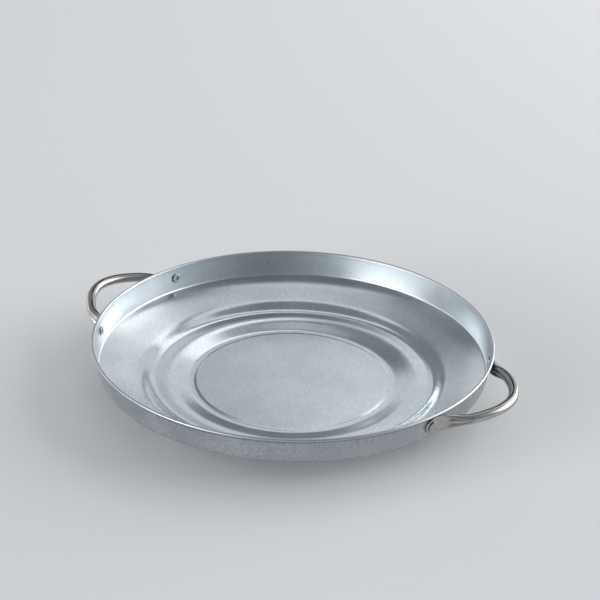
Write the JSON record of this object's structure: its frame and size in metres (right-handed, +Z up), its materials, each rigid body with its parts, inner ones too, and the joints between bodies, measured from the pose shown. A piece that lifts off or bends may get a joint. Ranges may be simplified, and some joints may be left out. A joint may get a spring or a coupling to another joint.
{
  "type": "oil drain pan",
  "caption": "Shallow round galvanised steel drain pan with a rolled rim, a stepped sloping floor and a riveted bow handle on each side.",
  "frame": {"origin": "on the ground, at the centre of the pan's base", "axes": "+Z up along the pan's axis, X through the middle of both handles, +X towards handle_right"},
  "size_m": [0.5324, 0.45, 0.06],
  "materials": {
    "galvanised_sheet": "semi-gloss galvanised sheet, faint rolling grain",
    "handle_steel": "warm grey brushed steel",
    "rivet_steel": "plated steel, smooth"
  },
  "bodies": {
    "root": {"pan_body": "galvanised_sheet", "handle_right": "handle_steel", "handle_left": "handle_steel", "rivet_right_a": "rivet_steel", "rivet_right_b": "rivet_steel", "rivet_left_a": "rivet_steel", "rivet_left_b": "rivet_steel"}
  },
  "joints": []
}
